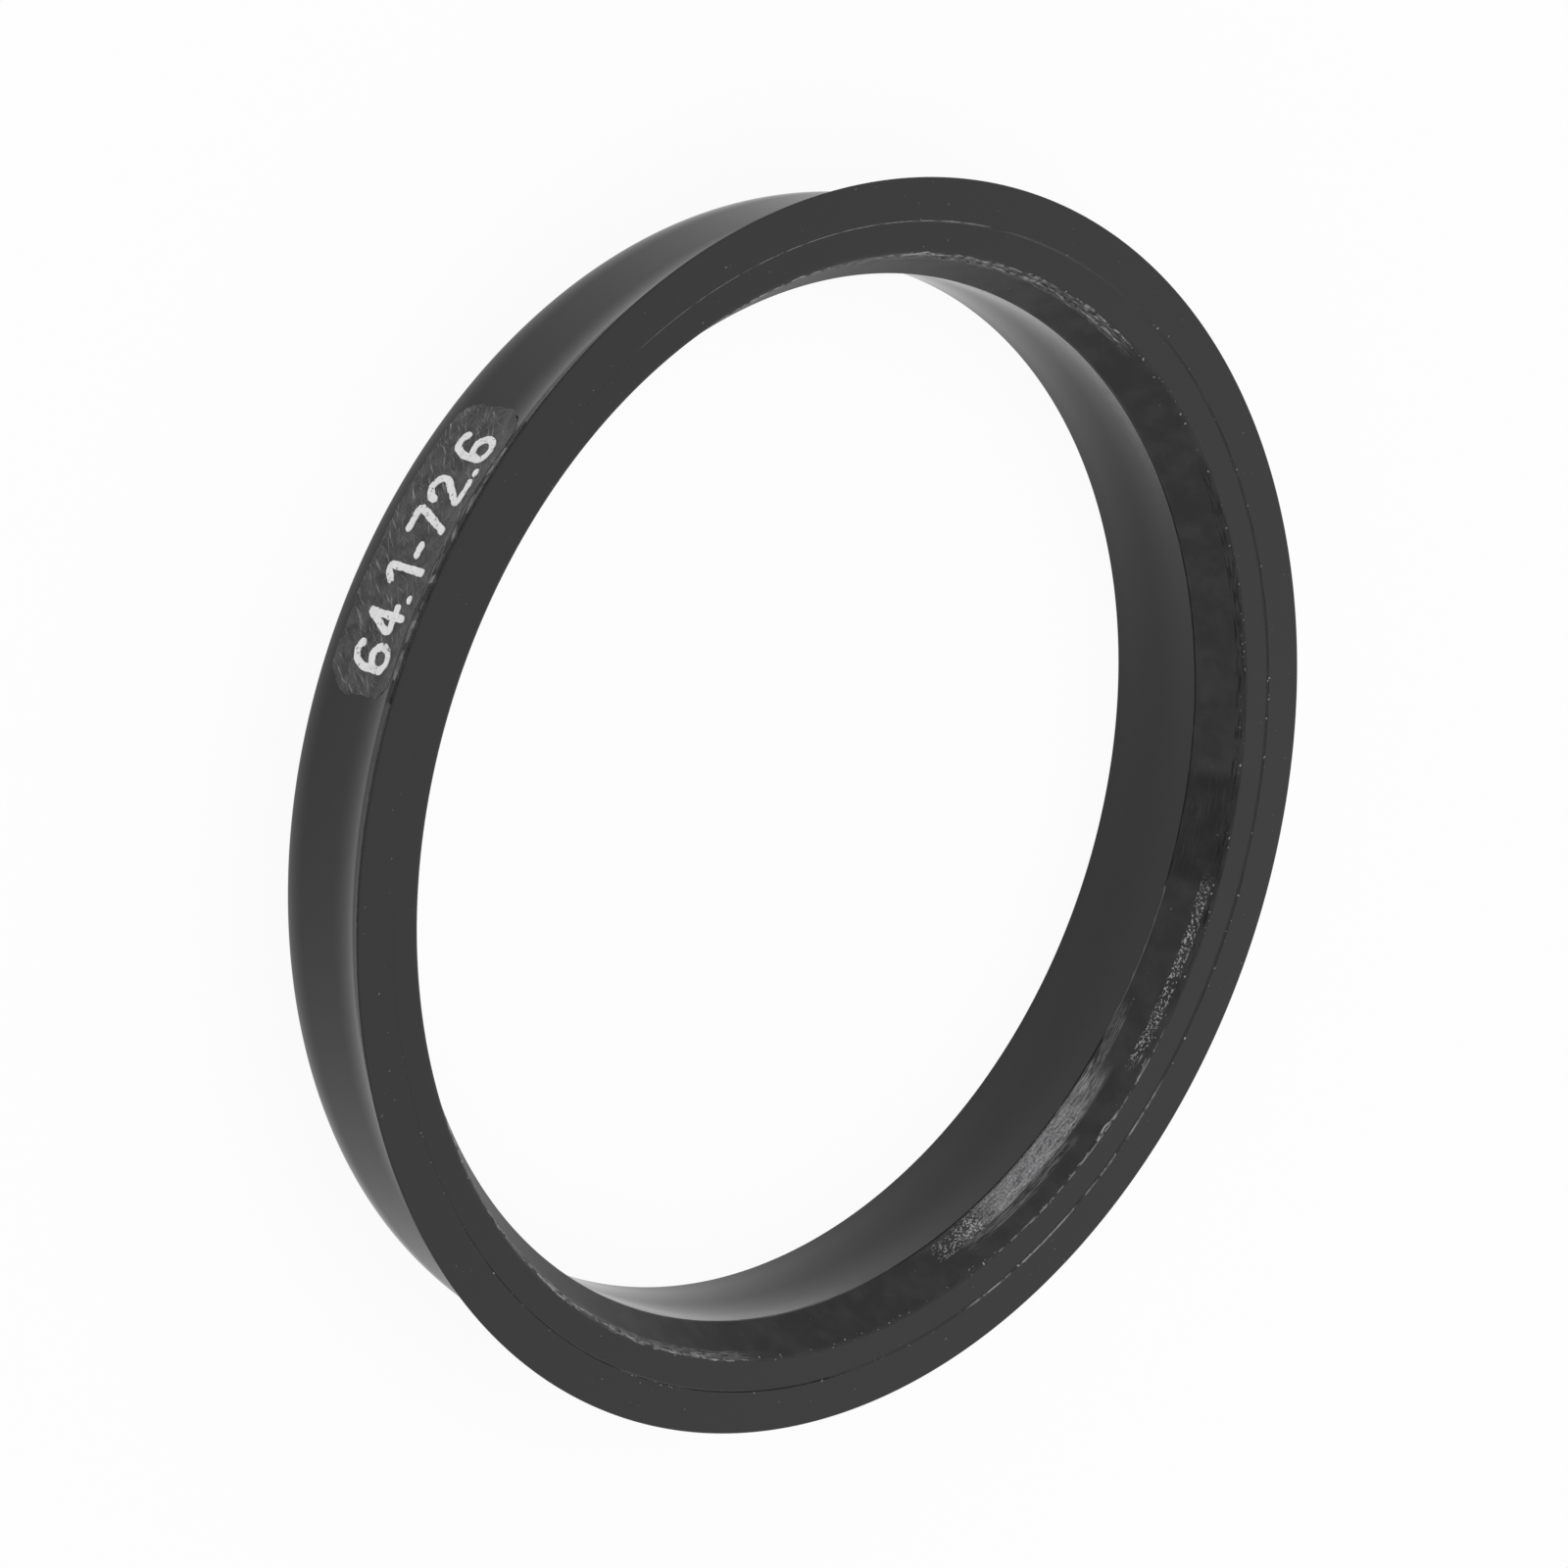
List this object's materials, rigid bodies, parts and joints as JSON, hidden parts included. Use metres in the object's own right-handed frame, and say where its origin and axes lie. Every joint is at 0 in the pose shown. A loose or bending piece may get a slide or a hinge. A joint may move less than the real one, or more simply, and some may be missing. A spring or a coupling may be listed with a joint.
{
  "type": "hub centric ring",
  "caption": "Flanged black plastic spacer ring with a chamfered bore, a straight seat and a flared lip, which centres a car wheel on the spigot of its hub.",
  "frame": {"origin": "centre of the bore, in the plane of the back face that the ring lies on", "axes": "+Z along the bore axis from the back face to the lip face; -Y is the side of the seat that carries the size mark; the ring lies on its small end with its lip up"},
  "size_m": [0.0772, 0.0772, 0.0095],
  "materials": {
    "ring_plastic": "black, satin, with fine turning marks and light handling scratches",
    "size_mark": "thin white printed numerals, slightly chipped",
    "mark_film": "thin clear film under the numerals, rubbed and scratched"
  },
  "bodies": {
    "root": {"ring": "ring_plastic"}
  },
  "joints": []
}
